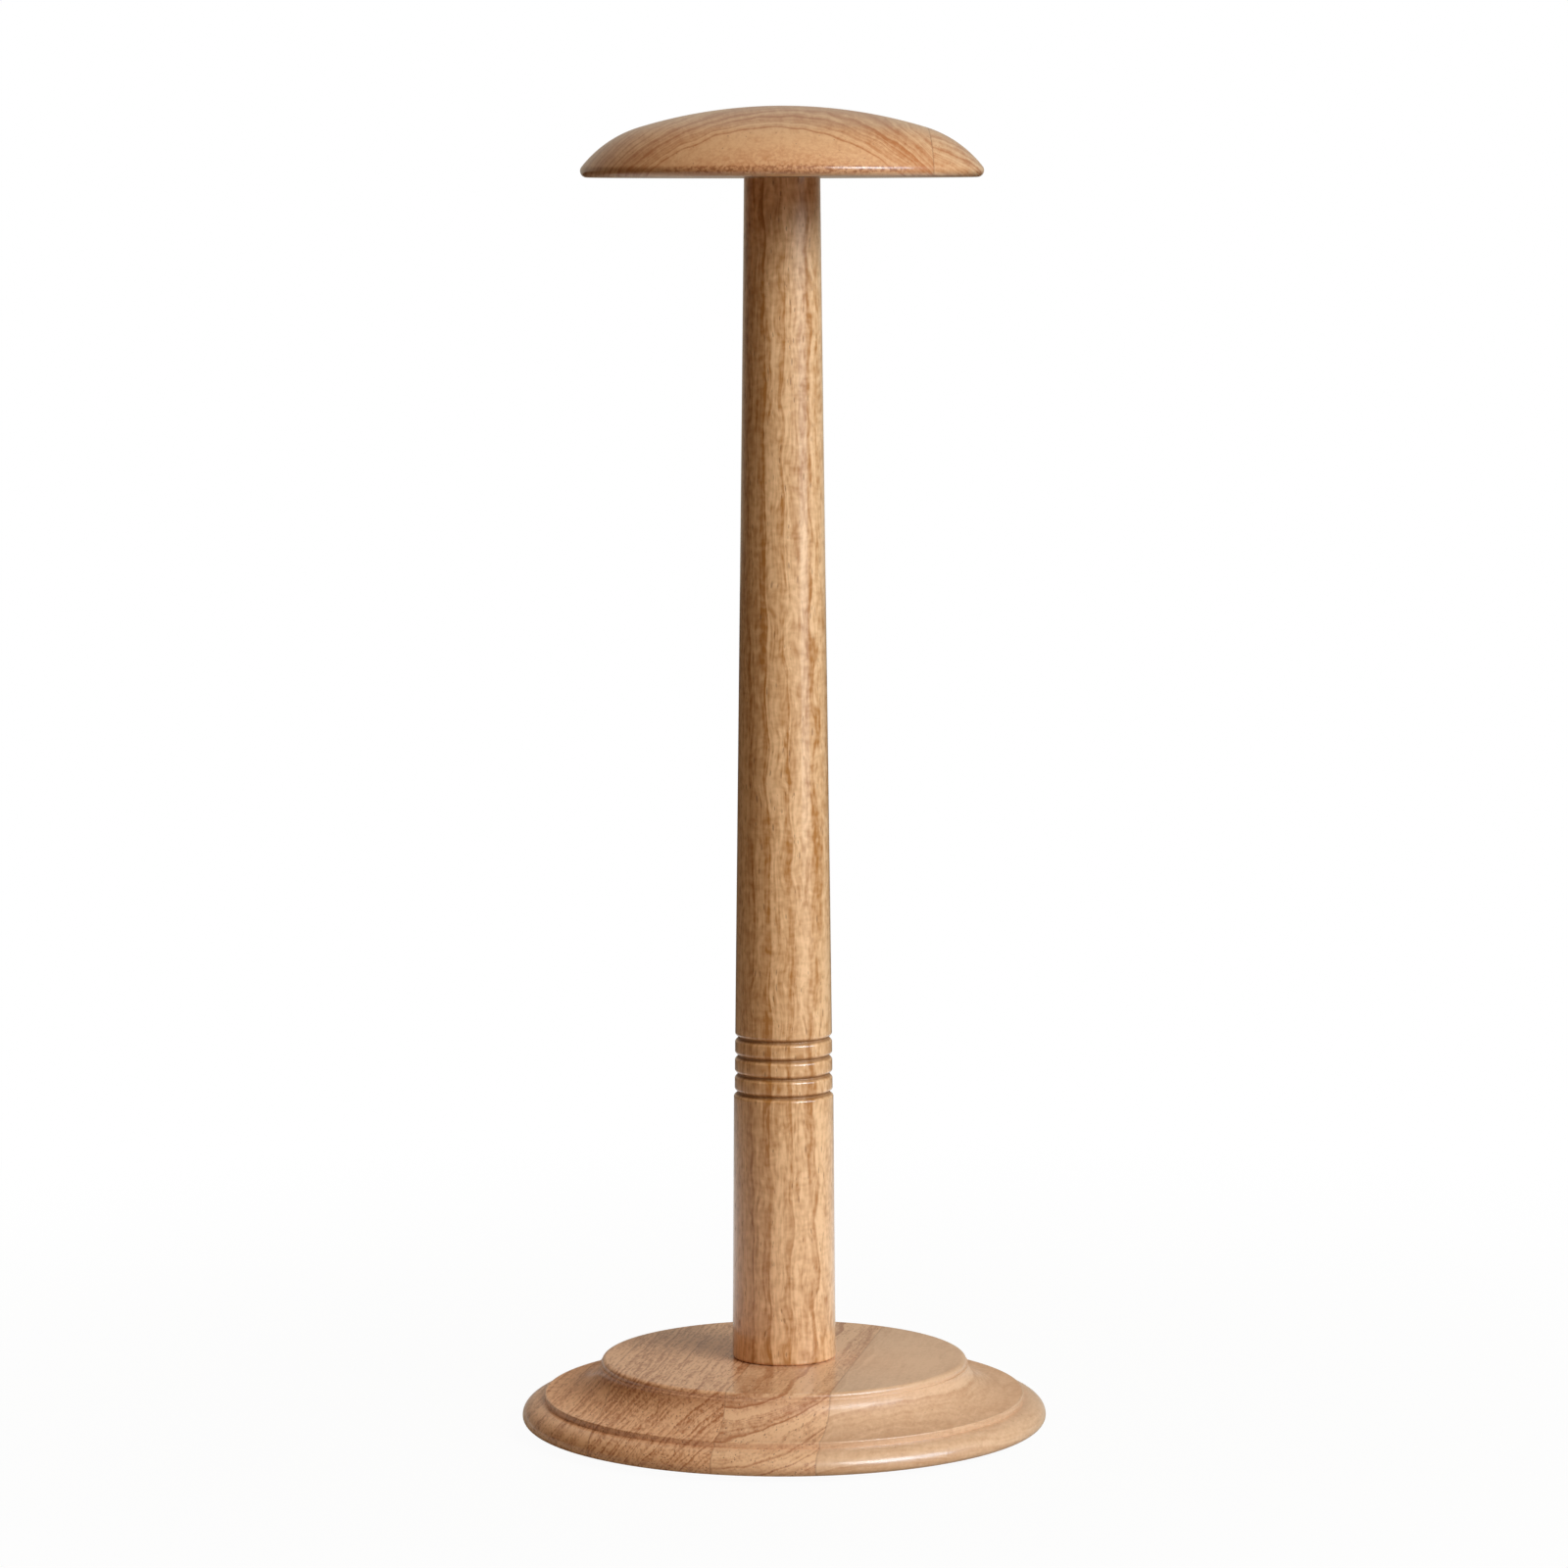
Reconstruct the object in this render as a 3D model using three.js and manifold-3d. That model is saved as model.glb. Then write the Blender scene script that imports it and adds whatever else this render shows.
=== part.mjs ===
// A milliner's hat stand in turned hardwood. A slim pole stands on a moulded round base and
// carries a low domed cap, on which a hat is shaped or shown.
// Lengths are in millimetres, +Z is up, the pole's axis is X = Y = 0, and the felt pads under
// the base stand on z = 0. The front of the stand faces -Y.
import * as THREE from "three";
import { mergeVertices } from "three/addons/utils/BufferGeometryUtils.js";
import Module from "manifold-3d";

// Base: the turned disc and its edge moulding, from the underside up
const baseDiameter = 170;
const baseThickness = 20.7;
const baseLowerRound = 2.2;
const ovoloRise = 5.1;
const ovoloRun = 6.9;
const ovoloLedge = 0.3;
const filletHeight = 2.1;
const filletArris = 0.4;
const stepDiameter = 118.4;
const stepThickness = 2.1;
const stepLedge = 0.6;
const stepRoundRun = 1.7;
const stepRoundRise = 1.2;

// Base blank: staves glued edge to edge, their edges as shares of the base's radius, left to right
const staveEdgeShares = [-0.6, -0.1, 0.285, 0.73];
const staveTurnDegrees = 10;
const glueLine = 0.3;

// Pole: heights are above its foot
const poleLength = 380.7;
const poleFootDiameter = 33.5;
const poleFootRound = 1;
const poleDrumTopDiameter = 32.2;
const poleTaperFootDiameter = 31.7;
const poleTopDiameter = 24.3;
// How much of the taper is left at the thirds of its height, which bends it into a faint S
const taperShares = [0.69, 0.3];
const grooveCount = 4;
const grooveFirstHeight = 87;
const groovePitch = 5.95;
const grooveWidth = 1.9;
const grooveDepth = 1.1;
const grooveLip = 0.35;

// Cap: a dome of three arcs over a flat underside
const capDiameter = 128.4;
const capHeight = 22.6;
const capEdgeRound = 2.1;
// Where the flat crown hands over to the rounder shoulder, across the radius and down the height
const crownRunShare = 0.71;
const crownDropShare = 0.3;
const capJointShare = 0.71;
const capJointTurnDegrees = 2;
const capSeatGap = 0.1;

// Foot fixing: a hex bolt and washer in a counterbore, and an insert nut in the pole
const footBoltDiameter = 8;
const footBoltLength = 46;
const footBoltHeadFlats = 13;
const footBoltHeadHeight = 5.3;
const footBoltHeadRecess = 2;
const footBoltTipBevel = 1;
const footWasherDiameter = 22;
const footWasherThickness = 1.6;
const counterboreClearance = 1.5;
const footInsertDiameter = 12.5;
const footInsertLength = 18;
const footInsertRecess = 0.8;

// Cap fixing: a stud with a wood thread in the pole, and an insert nut in the cap
const studDiameter = 8;
const studReach = 11.5;
const studWoodDiameter = 7;
const studWoodLength = 24;
const studTipLength = 5;
const studTopBevel = 1;
const capInsertDiameter = 12.5;
const capInsertLength = 12;
const capInsertRecess = 0.8;

// Fits shared by the fixings
const threadClearance = 0.3;
const insertClearance = 0.3;
const boreSpare = 2;

// Felt pads
const padDiameter = 18;
const padThickness = 2;
const padInset = 14;
const padCount = 4;

// Facets around each turned piece, and steps along the arcs of its outline
const baseFacets = 64;
const capFacets = 56;
const poleFacets = 40;
const fixingFacets = 24;
const padFacets = 24;
const wideArcSteps = 8;
const coveSteps = 9;
const smallArcSteps = 3;
const taperSteps = 12;

// Cutting bodies run this far past what they cut, and corners closer than the weld are one
const cutOverrun = 5;
const weldDistance = 0.0001;

// Sizes that follow from the ones above
const baseRadius = baseDiameter / 2;
const baseTop = padThickness + baseThickness;
const capBottom = baseTop + poleLength + capSeatGap;
const footBoltRadius = footBoltDiameter / 2;
const footBoltHoleRadius = footBoltRadius + threadClearance;
const footInsertBoreRadius = footInsertDiameter / 2 + insertClearance;
const counterboreRadius = footWasherDiameter / 2 + counterboreClearance;
const counterboreDepth = footBoltHeadRecess + footBoltHeadHeight + footWasherThickness;
const footBoltReach = footBoltLength - footWasherThickness - (baseThickness - counterboreDepth);
const studRadius = studDiameter / 2;
const studWoodRadius = studWoodDiameter / 2;
const capInsertBoreRadius = capInsertDiameter / 2 + insertClearance;

const wasm = await Module();
wasm.setup();

// A closed three.js geometry as a solid that can be cut and joined
function solidFrom(geometry) {
  const bare = geometry.clone();
  bare.deleteAttribute("normal");
  bare.deleteAttribute("uv");
  const welded = mergeVertices(bare, weldDistance);
  return new wasm.Manifold(
    new wasm.Mesh({
      numProp: 3,
      vertProperties: welded.getAttribute("position").array,
      triVerts: new Uint32Array(welded.index.array),
    }),
  );
}

// The surface of a solid as a three.js geometry
function geometryFrom(solid) {
  const mesh = solid.getMesh();
  const geometry = new THREE.BufferGeometry();
  geometry.setAttribute("position", new THREE.BufferAttribute(mesh.vertProperties, 3));
  geometry.setIndex(new THREE.BufferAttribute(mesh.triVerts, 1));
  geometry.computeVertexNormals();
  return geometry;
}

function point(radius, height) {
  return new THREE.Vector2(radius, height);
}

// Points along part of an ellipse about a centre; angles in degrees, 0 outwards and 90 up
function arc(centre, run, rise, fromDegrees, toDegrees, steps) {
  const from = THREE.MathUtils.degToRad(fromDegrees);
  const to = THREE.MathUtils.degToRad(toDegrees);
  const curve = new THREE.EllipseCurve(centre.x, centre.y, run, rise, from, to, to < from);
  return curve.getPoints(steps);
}

// An outline of radius and height, turned once about the Z axis
function turn(outline, facets) {
  const geometry = new THREE.LatheGeometry(outline, facets);
  geometry.rotateX(Math.PI / 2);
  return geometry;
}

function cylinder(radius, height, facets) {
  const geometry = new THREE.CylinderGeometry(radius, radius, height, facets);
  geometry.rotateX(Math.PI / 2);
  geometry.translate(0, 0, height / 2);
  return geometry;
}

// An upright slab between two edges across X, as long and tall as the disc it is cut from
function slab(leftEdge, rightEdge, reach, height, turnDegrees) {
  const geometry = new THREE.BoxGeometry(
    rightEdge - leftEdge,
    2 * (reach + cutOverrun),
    height + 2 * cutOverrun,
  );
  geometry.translate((leftEdge + rightEdge) / 2, 0, height / 2);
  geometry.rotateZ(THREE.MathUtils.degToRad(turnDegrees));
  return geometry;
}

// A turned disc parted along its glue lines into the boards it was glued up from
function boards(disc, edges, radius, height, turnDegrees) {
  const outside = radius + cutOverrun;
  const lefts = [-outside, ...edges.map((edge) => edge + glueLine / 2)];
  const rights = [...edges.map((edge) => edge - glueLine / 2), outside];
  return lefts.map((left, index) => {
    const cutter = solidFrom(slab(left, rights[index], radius, height, turnDegrees));
    return geometryFrom(disc.intersect(cutter));
  });
}

function wood(color, roughness) {
  return new THREE.MeshStandardMaterial({ color, roughness, metalness: 0 });
}

function named(name, geometry, material) {
  const mesh = new THREE.Mesh(geometry, material);
  mesh.name = name;
  return mesh;
}

// The edge moulding from the underside up: lower round, ovolo, fillet, cove and raised step
function baseMoulding() {
  const lowerCentre = point(baseRadius - baseLowerRound, baseLowerRound);
  const ovoloCentre = point(baseRadius - ovoloRun, baseLowerRound);
  const filletRadius = ovoloCentre.x - ovoloLedge;
  const filletTop = ovoloCentre.y + ovoloRise + filletHeight;
  const coveTop = baseThickness - stepThickness;
  const stepRadius = stepDiameter / 2;
  const coveRun = filletRadius - filletArris - stepRadius - stepLedge;
  const coveCentre = point(filletRadius - filletArris, coveTop);
  const stepCentre = point(stepRadius - stepRoundRun, baseThickness - stepRoundRise);
  return [
    ...arc(lowerCentre, baseLowerRound, baseLowerRound, -90, 0, smallArcSteps),
    ...arc(ovoloCentre, ovoloRun, ovoloRise, 0, 90, wideArcSteps).slice(1),
    point(filletRadius, ovoloCentre.y + ovoloRise),
    point(filletRadius, filletTop - filletArris),
    ...arc(coveCentre, coveRun, coveTop - filletTop, 270, 180, coveSteps),
    point(stepRadius, coveTop),
    ...arc(stepCentre, stepRoundRun, stepRoundRise, 0, 90, smallArcSteps),
  ];
}

function baseOutline() {
  const start = point(counterboreRadius, 0);
  return [
    start,
    ...baseMoulding(),
    point(footBoltHoleRadius, baseThickness),
    point(footBoltHoleRadius, counterboreDepth),
    point(counterboreRadius, counterboreDepth),
    start,
  ];
}

// The staves of the base, each a slice of one turned and bored disc
function baseStaves() {
  const colours = [0xc59b76, 0xbd8f69, 0xc79a72, 0xcda47e, 0xc89d78];
  const disc = solidFrom(turn(baseOutline(), baseFacets));
  const edges = staveEdgeShares.map((share) => share * baseRadius);
  const pieces = boards(disc, edges, baseRadius, baseThickness, -staveTurnDegrees);
  return pieces.map((piece, index) =>
    named("base_stave_" + (index + 1), piece, wood(colours[index], 0.32)),
  );
}

// Radius of the pole above its first groove: a cubic through the taper's shares
function taperRadius(height) {
  const footRadius = poleTaperFootDiameter / 2;
  const topRadius = poleTopDiameter / 2;
  const spread = footRadius - topRadius;
  const curve = new THREE.CubicBezierCurve(
    point(footRadius, 0),
    point(topRadius + taperShares[0] * spread, 0),
    point(topRadius + taperShares[1] * spread, 0),
    point(topRadius, 0),
  );
  return curve.getPoint((height - grooveFirstHeight) / (poleLength - grooveFirstHeight)).x;
}

// One V-cut with eased lips; the drum below the first cut is thicker than the taper above it
function groove(index) {
  const centre = grooveFirstHeight + index * groovePitch;
  const half = grooveWidth / 2;
  const aboveRadius = taperRadius(centre + half + grooveLip);
  const belowRadius = index === 0 ? poleDrumTopDiameter / 2 : taperRadius(centre - half - grooveLip);
  return [
    point(belowRadius, centre - half - grooveLip),
    point(belowRadius - grooveLip / 2, centre - half),
    point(taperRadius(centre) - grooveDepth, centre),
    point(aboveRadius - grooveLip / 2, centre + half),
    point(aboveRadius, centre + half + grooveLip),
  ];
}

function polePlainTaper() {
  const start = grooveFirstHeight + (grooveCount - 1) * groovePitch + grooveWidth / 2 + grooveLip;
  return Array.from({ length: taperSteps }, (_, index) => {
    const height = start + ((index + 1) / taperSteps) * (poleLength - start);
    return point(taperRadius(height), height);
  });
}

// The pole's outline starts and ends on the axis, in the bores for its two fixings
function poleOutline() {
  const footRadius = poleFootDiameter / 2;
  const footRoundCentre = point(footRadius - poleFootRound, poleFootRound);
  const insertEnd = footInsertRecess + footInsertLength;
  const boreEnd = Math.max(footBoltReach, insertEnd) + boreSpare;
  const pilotRadius = studWoodRadius + threadClearance;
  const pilotEnd = poleLength + capSeatGap - studWoodLength - studTipLength - boreSpare;
  const grooves = Array.from({ length: grooveCount }, (_, index) => groove(index));
  return [
    point(0, boreEnd),
    point(footBoltHoleRadius, boreEnd),
    point(footBoltHoleRadius, insertEnd),
    point(footInsertBoreRadius, insertEnd),
    point(footInsertBoreRadius, 0),
    ...arc(footRoundCentre, poleFootRound, poleFootRound, -90, 0, smallArcSteps),
    ...grooves.flat(),
    ...polePlainTaper(),
    point(pilotRadius, poleLength),
    point(pilotRadius, pilotEnd),
    point(0, pilotEnd),
  ];
}

function pole() {
  return named("pole", turn(poleOutline(), poleFacets), wood(0xc99a64, 0.3));
}

// The dome's outline from its underside to its top. The crown's arc passes through the top and
// the hand-over point; the shoulder's arc leaves it there along the same tangent and runs into
// the small edge round, which it touches from outside.
function capDome() {
  const capRadius = capDiameter / 2;
  const handOver = point(crownRunShare * capRadius, capHeight * (1 - crownDropShare));
  const drop = capHeight * crownDropShare;
  const crownRadius = (handOver.x ** 2 + drop ** 2) / (2 * drop);
  const crownCentre = point(0, capHeight - crownRadius);
  const outward = handOver.clone().sub(crownCentre).normalize();
  const edgeCentre = point(capRadius - capEdgeRound, capEdgeRound);
  const fromEdge = handOver.clone().sub(edgeCentre);
  const shoulderRadius =
    (fromEdge.lengthSq() - capEdgeRound ** 2) / (2 * (fromEdge.dot(outward) - capEdgeRound));
  const shoulderCentre = handOver.clone().addScaledVector(outward, -shoulderRadius);
  const crownAngle = THREE.MathUtils.radToDeg(outward.angle());
  const edgeAngle = THREE.MathUtils.radToDeg(edgeCentre.clone().sub(shoulderCentre).angle());
  return [
    ...arc(edgeCentre, capEdgeRound, capEdgeRound, -90, edgeAngle, 2 * smallArcSteps),
    ...arc(shoulderCentre, shoulderRadius, shoulderRadius, edgeAngle, crownAngle, wideArcSteps).slice(1),
    ...arc(crownCentre, crownRadius, crownRadius, crownAngle, 90, wideArcSteps).slice(1),
  ];
}

// The two boards of the cap; the wider one holds the bore for the insert nut
function capBoards() {
  const boreDepth = Math.max(capInsertRecess + capInsertLength, studReach) + boreSpare / 2;
  const outline = [
    point(0, boreDepth),
    point(capInsertBoreRadius, boreDepth),
    point(capInsertBoreRadius, 0),
    ...capDome(),
  ];
  const dome = solidFrom(turn(outline, capFacets));
  const radius = capDiameter / 2;
  const edges = [capJointShare * radius];
  const [main, side] = boards(dome, edges, radius, capHeight, capJointTurnDegrees);
  return [
    named("cap_board_main", main, wood(0xcfa27c, 0.3)),
    named("cap_board_side", side, wood(0xcb9c72, 0.3)),
  ];
}

function platedSteel() {
  return new THREE.MeshStandardMaterial({ color: 0xb9bcc0, roughness: 0.35, metalness: 1 });
}

// A plain ring with a bore, standing on z = 0
function ring(outerRadius, boreRadius, height, facets) {
  const start = point(boreRadius, 0);
  const outline = [start, point(outerRadius, 0), point(outerRadius, height), point(boreRadius, height), start];
  return turn(outline, facets);
}

// Hex bolt with its head below z = 0 and its shank above
function footBolt() {
  const cornerRadius = footBoltHeadFlats / 2 / Math.cos(Math.PI / 6);
  const head = cylinder(cornerRadius, footBoltHeadHeight, 6);
  head.translate(0, 0, -footBoltHeadHeight);
  const shank = turn(
    [
      point(0, -footBoltHeadHeight / 2),
      point(footBoltRadius, -footBoltHeadHeight / 2),
      point(footBoltRadius, footBoltLength - footBoltTipBevel),
      point(footBoltRadius - footBoltTipBevel, footBoltLength),
      point(0, footBoltLength),
    ],
    fixingFacets,
  );
  const bolt = solidFrom(head).add(solidFrom(shank));
  return named("foot_bolt", geometryFrom(bolt), platedSteel());
}

function footWasher() {
  const geometry = ring(footWasherDiameter / 2, footBoltHoleRadius, footWasherThickness, fixingFacets);
  return named("foot_washer", geometry, platedSteel());
}

function insertNut(name, diameter, boltRadius, length) {
  const geometry = ring(diameter / 2, boltRadius + threadClearance, length, fixingFacets);
  return named(name, geometry, platedSteel());
}

// Stud with its machine thread above z = 0 and its pointed wood thread below
function capStud() {
  const outline = [
    point(0, -studWoodLength - studTipLength),
    point(studWoodRadius, -studWoodLength),
    point(studWoodRadius, 0),
    point(studRadius, 0),
    point(studRadius, studReach - studTopBevel),
    point(studRadius - studTopBevel, studReach),
    point(0, studReach),
  ];
  return named("cap_stud", turn(outline, fixingFacets), platedSteel());
}

// Felt pads set round the underside, a fixed way in from the rim
function feltPads() {
  const felt = new THREE.MeshStandardMaterial({ color: 0x4a3a2c, roughness: 0.95, metalness: 0 });
  const padRadius = padDiameter / 2;
  const circleRadius = baseRadius - padInset - padRadius;
  return Array.from({ length: padCount }, (_, index) => {
    const angle = ((index + 1 / 2) / padCount) * 2 * Math.PI;
    const pad = named("felt_pad_" + (index + 1), cylinder(padRadius, padThickness, padFacets), felt);
    pad.position.set(circleRadius * Math.cos(angle), circleRadius * Math.sin(angle), 0);
    return pad;
  });
}

function placed(mesh, height) {
  mesh.position.z = height;
  return mesh;
}

// Base with the bolt that draws the pole down on it
function baseGroup() {
  const washerHeight = counterboreDepth - footWasherThickness;
  const group = new THREE.Group();
  group.add(...baseStaves());
  group.add(placed(footWasher(), washerHeight));
  group.add(placed(footBolt(), washerHeight));
  return placed(group, padThickness);
}

// Pole with the insert nut in its foot
function poleGroup() {
  const insert = insertNut("foot_insert", footInsertDiameter, footBoltRadius, footInsertLength);
  const group = new THREE.Group();
  group.add(pole());
  group.add(placed(insert, footInsertRecess));
  return placed(group, baseTop);
}

// Cap with its insert nut and the stud that joins it to the pole
function capGroup() {
  const insert = insertNut("cap_insert", capInsertDiameter, studRadius, capInsertLength);
  const group = new THREE.Group();
  group.add(...capBoards());
  group.add(placed(insert, capInsertRecess));
  group.add(capStud());
  return placed(group, capBottom);
}

const hatStand = new THREE.Group();
hatStand.add(...feltPads());
hatStand.add(baseGroup());
hatStand.add(poleGroup());
hatStand.add(capGroup());

export default hatStand;
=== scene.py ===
# %% [markdown]
# # A milliner's hat stand
# The stand is three turned pieces of light hardwood: a moulded round base, a slim pole with four
# cut rings near its foot, and a low domed cap that a hat is shaped or shown on. The CAD model
# already gives each piece its place and size, so this lesson loads it as a fixed frame and then
# dresses it, piece by piece.

# %% Load the frame
import math

import bmesh
import bpy
import numpy as np
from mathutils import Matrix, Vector


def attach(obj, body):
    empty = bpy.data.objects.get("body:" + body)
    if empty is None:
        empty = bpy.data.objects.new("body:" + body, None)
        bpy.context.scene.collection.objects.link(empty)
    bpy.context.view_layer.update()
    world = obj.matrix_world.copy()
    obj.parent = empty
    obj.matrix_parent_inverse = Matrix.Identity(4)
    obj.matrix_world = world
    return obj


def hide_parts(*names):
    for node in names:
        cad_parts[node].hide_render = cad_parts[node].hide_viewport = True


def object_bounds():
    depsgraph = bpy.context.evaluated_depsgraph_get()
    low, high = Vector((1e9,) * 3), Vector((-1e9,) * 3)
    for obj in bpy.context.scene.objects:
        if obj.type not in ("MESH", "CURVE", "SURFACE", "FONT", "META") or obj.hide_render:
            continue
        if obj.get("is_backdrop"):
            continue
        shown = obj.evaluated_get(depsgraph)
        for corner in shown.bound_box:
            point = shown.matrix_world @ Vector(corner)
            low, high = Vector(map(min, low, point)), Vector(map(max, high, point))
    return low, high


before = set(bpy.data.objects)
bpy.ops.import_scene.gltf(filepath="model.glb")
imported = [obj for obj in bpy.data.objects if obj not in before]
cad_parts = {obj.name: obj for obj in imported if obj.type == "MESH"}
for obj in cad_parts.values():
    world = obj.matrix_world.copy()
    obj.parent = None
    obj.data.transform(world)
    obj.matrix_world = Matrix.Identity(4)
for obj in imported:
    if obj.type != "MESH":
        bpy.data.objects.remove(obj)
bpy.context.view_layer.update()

# %% [markdown]
# ## The camera
# The photograph was taken from straight in front, a little below the height of the cap, with a
# long lens. Its numbers were worked out from the outline of the base, the cuts and the cap.

# %% The camera
PHOTO_SIDE = 1600
FOCAL_PIXELS = 5640.0
SENSOR = 36.0
CAMERA_PLACE = (0.0006, -1.7678, 0.3936)
CAMERA_PITCH = math.radians(5.943)
CAMERA_ROLL = math.radians(0.1)


def added(name, data):
    """A new object in the scene."""
    made = bpy.data.objects.new(name, data)
    bpy.context.scene.collection.objects.link(made)
    return made


camera_data = bpy.data.cameras.new("photo_camera")
camera_data.sensor_width = SENSOR
camera_data.lens = SENSOR * FOCAL_PIXELS / PHOTO_SIDE
camera = added("photo_camera", camera_data)
camera.location = CAMERA_PLACE
camera.rotation_euler = (math.pi / 2 - CAMERA_PITCH, CAMERA_ROLL, 0)
bpy.context.scene.camera = camera
print("lens:", round(camera_data.lens, 1), "mm")

# %% [markdown]
# ## Outlines
# A piece turned on a lathe is known by its outline: the radius at each height. An outline can be
# drawn from straight lines and arcs. Sanding and lacquer ease every corner a little, and such an
# eased corner catches the light, so each corner carries the length that is rounded off it. All
# outlines are in millimetres.

# %% Arcs and eased corners
def arc(centre, run, rise, start, end, steps):
    """Corners with no ease on an ellipse: centre plus (run cos a, rise sin a), with the angle a
    in degrees from start to end. 0 points outwards and 90 up."""
    angle = np.radians(np.linspace(start, end, steps + 1))
    radius, height = centre[0] + run * np.cos(angle), centre[1] + rise * np.sin(angle)
    return np.column_stack((radius, height, 0 * angle))


def eased(corners, steps=5):
    """Corners (radius, height, ease) as an outline. A corner with an ease is cut off that far
    before and behind it, and the quadratic curve (1-t)^2 a + 2t(1-t) corner + t^2 b joins the
    two ends a and b."""
    points = np.array([corner[:2] for corner in corners], float)
    t = np.linspace(0, 1, steps + 1)[:, None]
    made = []
    for index, (*_, ease) in enumerate(corners):
        if not ease:
            made.append(points[index][None])
            continue
        here, back, ahead = points[index], points[index - 1], points[(index + 1) % len(points)]
        a = here + (back - here) * ease / np.linalg.norm(back - here)
        b = here + (ahead - here) * ease / np.linalg.norm(ahead - here)
        made.append((1 - t) ** 2 * a + 2 * t * (1 - t) * here + t**2 * b)
    return np.vstack(made)


print("a corner, eased:", eased([(1, 0, 0), (1, 1, 0.2), (0, 1, 0)], 2)[1:-1].tolist())

# %% [markdown]
# ## From outline to surface
# Carrying the outline round the axis gives the surface, as a grid of one column for each angle.
# Where a flat face meets a small round, the round's shading would spread over the whole flat, so
# long straight runs get an extra ring close to each end. A point on the axis is one vertex, which
# closes the surface.

# %% Turn an outline
MM = 0.001
SUPPORT = 0.3
LONG_RUN = 4.0
ON_AXIS = 1e-6


def supported(outline, closed):
    """The outline with two more points on every run longer than LONG_RUN, SUPPORT from its ends."""
    ends = np.roll(outline, -1, axis=0)
    length = np.linalg.norm(ends - outline, axis=1)
    if not closed:
        length[-1] = 0
    made = []
    for start, end, size in zip(outline, ends, length):
        made.append(start)
        if size > LONG_RUN:
            step = (end - start) * SUPPORT / size
            made += [start + step, end - step]
    return np.array(made)


def round_surface(radius, height, closed=False):
    """Vertices in metres and faces of a surface round Z. radius is a grid in millimetres with one
    row for each height and one column for each angle a, in equal steps of a full turn. The vertex
    there is (radius cos a, radius sin a, height)."""
    sides = radius.shape[1]
    angle = np.arange(sides) * 2 * math.pi / sides
    on_axis = radius.max(axis=1) < ON_AXIS
    first = np.concatenate(([0], np.cumsum(np.where(on_axis, 1, sides))))
    grid = first[:-1, None] + np.where(on_axis[:, None], 0, np.arange(sides))
    vertices = np.empty((first[-1], 3))
    vertices[grid, 0] = radius * np.cos(angle)
    vertices[grid, 1] = radius * np.sin(angle)
    vertices[grid, 2] = height[:, None]
    upper = np.roll(grid, -1, axis=0)
    if not closed:
        grid, upper = grid[:-1], upper[:-1]
    a, b = grid, np.roll(grid, -1, axis=1)
    d, c = upper, np.roll(upper, -1, axis=1)
    quads = np.stack((a, b, c, d), axis=-1)[(a != b) & (d != c)]
    low_tips = np.stack((a, c, d), axis=-1)[(a == b) & (d != c)]
    high_tips = np.stack((a, b, c), axis=-1)[(a != b) & (d == c)]
    return vertices * MM, quads.tolist() + low_tips.tolist() + high_tips.tolist()


def turned(outline, sides, closed=False):
    """An outline of points (radius, height), turned about Z."""
    radius, height = supported(np.asarray(outline, float), closed).T
    return round_surface(np.repeat(radius[:, None], sides, axis=1), height, closed)


print("a cone of 8 sides has", len(turned([(1, 0), (0, 1)], 8)[1]), "faces")

# %% [markdown]
# ## From surface to piece
# A mesh is shaded smooth so that its facets don't show, but a real edge has to stay an edge, so
# edges sharper than a limit are kept. A finished piece rides on the frame's body, stands in for
# one CAD node and says which finish it takes.

# %% Meshes and pieces
SHARP = math.radians(35)


def smoothed(mesh):
    mesh.shade_smooth()
    mesh.set_sharp_from_angle(angle=SHARP)


def mesh_of(name, vertices, faces):
    mesh = bpy.data.meshes.new(name)
    mesh.from_pydata(vertices.tolist(), [], faces)
    mesh.validate()
    smoothed(mesh)
    return mesh


def piece(mesh, node, material):
    """Puts a mesh in the scene under its own name, in place of a CAD node."""
    made = added(mesh.name, mesh)
    mesh.materials.append(material)
    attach(made, "root")
    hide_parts(node)
    print(made.name, "stands for", node, "with", len(mesh.polygons), "faces")


# %% [markdown]
# ## Node groups
# Eight boards of one timber share their effects, so each effect is built once as a node group
# with named inputs and outputs. A small class keeps the node code short: it makes a node, joins
# or sets its inputs, and hands back its outputs.

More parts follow.
